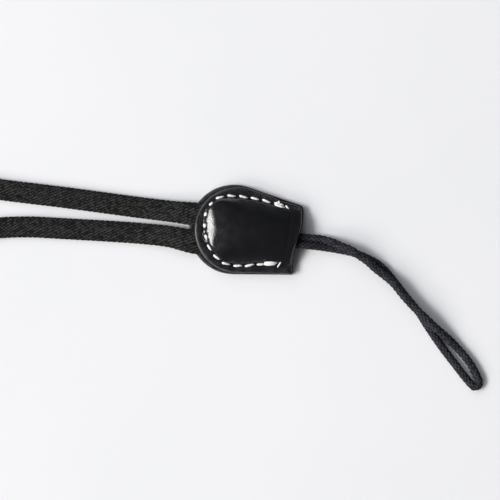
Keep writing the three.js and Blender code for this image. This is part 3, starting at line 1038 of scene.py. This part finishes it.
def new_group(name, inputs, outputs):
    """A node group with these inputs, as name: (kind, value), and these outputs, as name: kind."""
    group = bpy.data.node_groups.new(name, "ShaderNodeTree")
    for key, (kind, value) in inputs.items():
        socket = group.interface.new_socket(key, in_out="INPUT", socket_type="NodeSocket" + kind)
        if value is not None:
            socket.default_value = value
    for key, kind in outputs.items():
        group.interface.new_socket(key, in_out="OUTPUT", socket_type="NodeSocket" + kind)
    tree = Tree(group)
    return group, tree, tree.nodes.new("NodeGroupInput").outputs, tree.nodes.new("NodeGroupOutput")


def new_material(name, **constants):
    material = bpy.data.materials.new(name)
    material.use_nodes = True
    surface = material.node_tree.nodes["Principled BSDF"]
    for key, value in constants.items():
        surface.inputs[key.replace("_", " ")].default_value = value
    return material, Tree(material.node_tree), surface


# %% [markdown]
# ## Leather's grain
#
# Polished leather still shows its grain: small pebbles about half a millimetre across, with fine lines
# between them, and broad soft unevenness from the hide. The grain hardly changes the colour. It shows where
# the surface mirrors a window, because it breaks the edge of the highlight into short streaks.

# %% Group: leather grain
def make_grain_group():
    inputs = {"Pebble size": ("Float", 0.0005), "Unevenness": ("Float", 0.5)}
    group, tree, given, result = new_group("leather_grain", inputs, {"Height": "Float", "Shade": "Float"})
    place = tree.add("TexCoord").outputs["Object"]
    scale = tree.math("DIVIDE", 1.0, given["Pebble size"])
    warp = tree.add("TexNoise", {"Vector": place, "Scale": tree.math("MULTIPLY", scale, 0.4), "Detail": 1.0})
    spread = tree.add("VectorMath", {0: warp.outputs["Color"], "Scale": 0.0006}, operation="SCALE").outputs[0]
    bent = tree.add("VectorMath", {0: place, 1: spread}, operation="ADD").outputs[0]
    pebbles = tree.add("TexVoronoi", {"Vector": bent, "Scale": scale}, feature="SMOOTH_F1").outputs["Distance"]
    fine = tree.add("TexNoise", {"Vector": place, "Scale": tree.math("MULTIPLY", scale, 2.5), "Detail": 2.0})
    broad = tree.add("TexNoise", {"Vector": place, "Scale": tree.math("MULTIPLY", scale, 0.16), "Detail": 2.0})
    height = tree.math("MULTIPLY", tree.math("SUBTRACT", 1.0, pebbles), 0.55)
    height = tree.math("ADD", height, tree.math("MULTIPLY", fine.outputs["Fac"], 0.25))
    waves = tree.math("MULTIPLY", broad.outputs["Fac"], given["Unevenness"])
    tree.links.new(tree.math("ADD", height, waves), result.inputs["Height"])
    tree.links.new(tree.span(broad.outputs["Fac"], 0.35, 0.65, 0.85, 1.15), result.inputs["Shade"])
    return group


grain_group = make_grain_group()

# %% [markdown]
# ## Patchy masks
#
# A mask says where a colour goes, and a noise breaks it into patches, so it is never even. On the leather
# it carries the greyer cut edges with their painted highlight at the head, and the flange's painted reflection.
# Black yarn uses the same group, over all of it, for its uneven shade.

# %% Group: patchy mask
def make_patch_mask_group():
    inputs = {"Mask": ("Float", 0.0), "Patch size": ("Float", 0.002), "Breakup": ("Float", 0.5)}
    group, tree, given, result = new_group("patch_mask", inputs, {"Amount": "Float"})
    place = tree.add("TexCoord").outputs["Object"]
    scale = tree.math("DIVIDE", 1.0, given["Patch size"])
    patches = tree.add("TexNoise", {"Vector": place, "Scale": scale, "Detail": 4.0}).outputs["Fac"]
    low = tree.math("MULTIPLY", given["Breakup"], 0.6)
    patchy = tree.add("MapRange", {"Value": patches, "From Min": low, "From Max": 0.65}).outputs["Result"]
    tree.links.new(tree.math("MULTIPLY", given["Mask"], patchy), result.inputs["Amount"])
    return group


patch_mask_group = make_patch_mask_group()

# %% [markdown]
# ## Yarns
#
# On a woven surface the humps are bright and the dips between them dark, since little light gets down
# there. Each hump is a bundle of fine filaments that lie along it, and no two bundles catch the light quite
# alike. The group reads the weave's own coordinates, so its shading lies exactly on the modelled humps.

# %% Group: yarns
def make_yarn_group():
    inputs = {
        "Weave": ("Vector", None),
        "Break shade": ("Float", 0.5),
        "Dip shade": ("Float", 0.2),
        "Variation": ("Float", 0.3),
        "Filaments": ("Float", 6.0),
        "Mottle": ("Float", 0.8),
    }
    group, tree, given, result = new_group("yarns", inputs, {"Shade": "Float", "Height": "Float"})
    weave = tree.add("SeparateXYZ", {0: given["Weave"]}).outputs
    m = tree.math("ADD", weave["X"], weave["Y"])
    n = tree.math("SUBTRACT", weave["X"], weave["Y"])

    def rounded(coordinate, power):
        wave = tree.math("ABSOLUTE", tree.math("SINE", tree.math("MULTIPLY", coordinate, pi)))
        return tree.math("POWER", wave, power)

    across = tree.span(rounded(n, 0.7), 0, 1, given["Dip shade"])
    along = tree.span(rounded(m, 1.0), 0, 1, given["Break shade"])
    cell = tree.add("CombineXYZ", {"X": tree.math("FLOOR", m), "Y": tree.math("FLOOR", n)}).outputs[0]
    own = tree.add("TexWhiteNoise", {"Vector": cell}, noise_dimensions="2D").outputs["Value"]
    spread = tree.math("MULTIPLY", tree.math("SUBTRACT", own, 0.5), given["Variation"])
    shade = tree.math("MULTIPLY", tree.math("MULTIPLY", across, along), tree.math("ADD", spread, 1.0))
    place = tree.add("TexCoord").outputs["Object"]
    tufts = tree.add("TexNoise", {"Vector": place, "Scale": 2300.0, "Detail": 1.0}).outputs["Fac"]
    tufts = tree.math("MULTIPLY", tree.span(tufts, 0.35, 0.68, -0.6, 1.4), given["Mottle"])
    tree.links.new(tree.math("MULTIPLY", shade, tree.math("ADD", tufts, 1.0)), result.inputs["Shade"])
    fibre = tree.math("MULTIPLY", tree.math("MULTIPLY", n, given["Filaments"]), 2 * pi)
    wobble = tree.add("TexNoise", {"Vector": given["Weave"], "Scale": 3.0, "Detail": 2.0}).outputs["Fac"]
    fibre = tree.math("SINE", tree.math("ADD", fibre, tree.math("MULTIPLY", wobble, 9.0)))
    tree.links.new(tree.math("MULTIPLY_ADD", fibre, 0.5, 0.5), result.inputs["Height"])
    return group


yarn_group = make_yarn_group()

# %% [markdown]
# ## Black leather
#
# The leather is dyed black right through and polished. Its cut edges are greyer and less glossy than the
# face, above all at the head, where the rim faces the window and its grey is also a painted highlight.
# The flange round the dome is painted a little paler, a painted reflection of the room, and the dome itself isn't.

# %% Material: black leather
LEATHER_BLACK = (0.0072, 0.0072, 0.0085, 1)
# Paler flange colour: a painted reflection of the room.
LEATHER_FLANGE_REFLECTION = (0.026, 0.026, 0.03, 1)
# Grey of the cut edges, which also serves as a painted highlight where the head's rim faces the window.
LEATHER_EDGE_AND_HIGHLIGHT = (0.06, 0.059, 0.058, 1)


def black_leather():
    material, tree, surface = new_material("black_leather", IOR=1.6)
    grain = tree.add("Group", node_tree=grain_group)
    grain.inputs["Pebble size"].default_value = 0.00045
    grain.inputs["Unevenness"].default_value = 0.9
    # Cut edges: greyer and rougher, with a painted highlight at the head.
    edge = tree.add("Attribute", attribute_name="edge_grey_and_highlight").outputs["Fac"]
    patch_mask = tree.add("Group", {"Mask": edge, "Patch size": 0.0012, "Breakup": 0.3}, node_tree=patch_mask_group)
    dyed = tree.mix(tree.span(grain.outputs["Shade"], 0.85, 1.15), (0.006, 0.006, 0.0068, 1), LEATHER_BLACK)
    # Flange: painted paler, a painted reflection of the room, broken into patches.
    flange = tree.add("Attribute", attribute_name="painted_flange_reflection").outputs["Fac"]
    flange_reflection_patches = tree.add("Group", {"Mask": flange, "Patch size": 0.0016, "Breakup": 0.55}, node_tree=patch_mask_group)
    painted_flange_reflection = tree.mix(flange_reflection_patches.outputs["Amount"], dyed, LEATHER_FLANGE_REFLECTION)
    colour = tree.mix(patch_mask.outputs["Amount"], painted_flange_reflection, LEATHER_EDGE_AND_HIGHLIGHT)
    tree.links.new(colour, surface.inputs["Base Color"])
    polish = tree.span(grain.outputs["Shade"], 0.85, 1.15, 0.19, 0.25)
    roughness = tree.math("ADD", polish, tree.math("MULTIPLY", patch_mask.outputs["Amount"], 0.4))
    tree.links.new(roughness, surface.inputs["Roughness"])
    bump = tree.add("Bump", {"Height": grain.outputs["Height"], "Strength": 1.0, "Distance": 0.00004})
    tree.links.new(bump.outputs["Normal"], surface.inputs["Normal"])
    return material


leather = black_leather()

# %% [markdown]
# ## Black tape and black cord
#
# Both are spun yarn, dyed black. They scatter light softly, with a faint gloss on the humps.

# %% Material: black yarn
def black_yarn(name, colour, dip, gap, variation, filament_depth):
    material, tree, surface = new_material(name, Roughness=0.75, Specular_IOR_Level=0.08)
    weave = tree.add("UVMap", uv_map="weave").outputs["UV"]
    inputs = {"Weave": weave, "Dip shade": dip, "Break shade": gap, "Variation": variation}
    yarns = tree.add("Group", inputs, node_tree=yarn_group)
    patch_mask = tree.add("Group", {"Mask": 1.0, "Patch size": 0.004, "Breakup": 0.5}, node_tree=patch_mask_group)
    shade = tree.math("MULTIPLY", yarns.outputs["Shade"], tree.span(patch_mask.outputs["Amount"], 0, 1, 0.85, 1.15))
    dark = (0.002, 0.002, 0.002, 1)
    tree.links.new(tree.mix(tree.math("MULTIPLY", shade, 0.7), dark, colour), surface.inputs["Base Color"])
    tree.links.new(tree.span(shade, 0, 1, 0.95, 0.6), surface.inputs["Roughness"])
    inputs = {"Height": yarns.outputs["Height"], "Strength": 0.6, "Distance": filament_depth}
    tree.links.new(tree.add("Bump", inputs).outputs["Normal"], surface.inputs["Normal"])
    return material


webbing = black_yarn("black_webbing", (0.05, 0.05, 0.049, 1), 0.12, 0.0, 1.2, 0.00003)
cording = black_yarn("black_cord", (0.053, 0.054, 0.066, 1), 0.25, 0.35, 0.8, 0.00002)

# %% [markdown]
# ## White thread
#
# The thread is off-white linen, waxed. Its plies' shadows come from its shape, and a little warmth and
# unevenness from noise.

# %% Material: white thread
def white_thread():
    material, tree, surface = new_material("white_thread", Roughness=0.6)
    place = tree.add("TexCoord").outputs["Object"]
    noise = tree.add("TexNoise", {"Vector": place, "Scale": 900.0, "Detail": 3.0}).outputs["Fac"]
    colour = tree.mix(tree.span(noise, 0.35, 0.65), (0.84, 0.82, 0.79, 1), (0.95, 0.94, 0.92, 1))
    tree.links.new(colour, surface.inputs["Base Color"])
    fibres = tree.add("TexNoise", {"Vector": place, "Scale": 9000.0, "Detail": 2.0}).outputs["Fac"]
    bump = tree.add("Bump", {"Height": fibres, "Strength": 0.5, "Distance": 0.00002})
    tree.links.new(bump.outputs["Normal"], surface.inputs["Normal"])
    return material


def pale_ground():
    material, tree, surface = new_material("pale_ground", Roughness=0.9, Specular_IOR_Level=0.1)
    place = tree.add("TexCoord").outputs["Object"]
    noise = tree.add("TexNoise", {"Vector": place, "Scale": 14.0, "Detail": 3.0}).outputs["Fac"]
    colour = tree.mix(tree.span(noise, 0.3, 0.7), (0.79, 0.795, 0.815, 1), (0.82, 0.82, 0.835, 1))
    tree.links.new(colour, surface.inputs["Base Color"])
    return material


white = white_thread()
ground = pale_ground()
for piece, finish in (
    (lower_layer, leather),
    (upper_layer, leather),
    (tape, webbing),
    (braid, cording),
    (knot, cording),
    (thread, white),
):
    piece.data.materials.clear()
    piece.data.materials.append(finish)
print("materials:", sorted(material.name for material in bpy.data.materials))

# %% [markdown]
# ## The ground, the lights and the room
#
# The strap lies on a large pale ground. Three lights share the work. A window at the left is the only one
# that the leather mirrors, so its size and place decide the highlight on the tab's shoulder. A broad cool
# glow from the upper left and a smaller warm one from the lower left aren't mirrored, and they soften the
# shadows, which fall to the right. Smooth leather shows little but what it mirrors. The room is dark
# overhead, which keeps the flat leather black, and paler near the horizon, where the pale ground and the
# walls throw back some light.

# %% The ground and the lights
WINDOW = {"from_left": 6, "elevation": 43, "distance": 3.0, "size": (1.3, 0.8), "power": 72}
BROAD_GLOW = {"from_left": -35, "elevation": 42, "distance": 3.0, "size": (5, 2.6), "power": 61}
LOW_GLOW = {"from_left": 42, "elevation": 30, "distance": 3.0, "size": (2.0, 1.2), "power": 43}
WINDOW_COLOUR = (1.0, 0.995, 0.985)
BROAD_COLOUR = (0.96, 0.98, 1.0)
LOW_COLOUR = (1.0, 0.96, 0.9)


def add_ground():
    start_clean()
    bpy.ops.mesh.primitive_plane_add(size=4, location=(0, 0, -0.02 * MM))
    floor = name_it("floor")
    floor.data.materials.append(ground)


def add_window(name, colour, mirrored, from_left, elevation, distance, size, power):
    """An area light that faces the strap, turned by from_left from the left towards the picture's bottom.

    The leather shows its reflection only where mirrored is true.
    """
    azimuth, rise = radians(180 + ROLL + from_left), radians(elevation)
    direction = Vector((cos(rise) * cos(azimuth), cos(rise) * sin(azimuth), sin(rise)))
    start_clean()
    bpy.ops.object.light_add(type="AREA", location=direction * distance)
    window = bpy.context.object
    window.name = name
    window.rotation_euler = direction.to_track_quat("Z", "Y").to_euler()
    window.data.shape = "RECTANGLE"
    window.data.size, window.data.size_y = size
    window.data.energy = power
    window.data.color = colour
    window.visible_glossy = mirrored


add_ground()
add_window("window", WINDOW_COLOUR, True, **WINDOW)
add_window("broad_glow", BROAD_COLOUR, False, **BROAD_GLOW)
add_window("low_glow", LOW_COLOUR, False, **LOW_GLOW)

# %% The room
ROOM_LOW = (0.12, 0.13, 0.155, 1)  # near the horizon
ROOM_HIGH = (0.07, 0.074, 0.085, 1)  # overhead


def light_room():
    world = bpy.data.worlds.new("room")
    bpy.context.scene.world = world
    world.use_nodes = True
    nodes, links = world.node_tree.nodes, world.node_tree.links
    place = nodes.new("ShaderNodeTexCoord")
    split = nodes.new("ShaderNodeSeparateXYZ")
    links.new(place.outputs["Generated"], split.inputs["Vector"])
    ramp = nodes.new("ShaderNodeMapRange")
    ramp.interpolation_type = "SMOOTHSTEP"
    links.new(split.outputs["Z"], ramp.inputs["Value"])
    ramp.inputs["From Min"].default_value = 0.05
    ramp.inputs["From Max"].default_value = 0.5
    mix = nodes.new("ShaderNodeMix")
    mix.data_type = "RGBA"
    links.new(ramp.outputs["Result"], mix.inputs["Factor"])
    mix.inputs["A"].default_value = ROOM_LOW
    mix.inputs["B"].default_value = ROOM_HIGH
    links.new(mix.outputs["Result"], nodes["Background"].inputs["Color"])


light_room()
bpy.context.scene.view_settings.view_transform = "Standard"
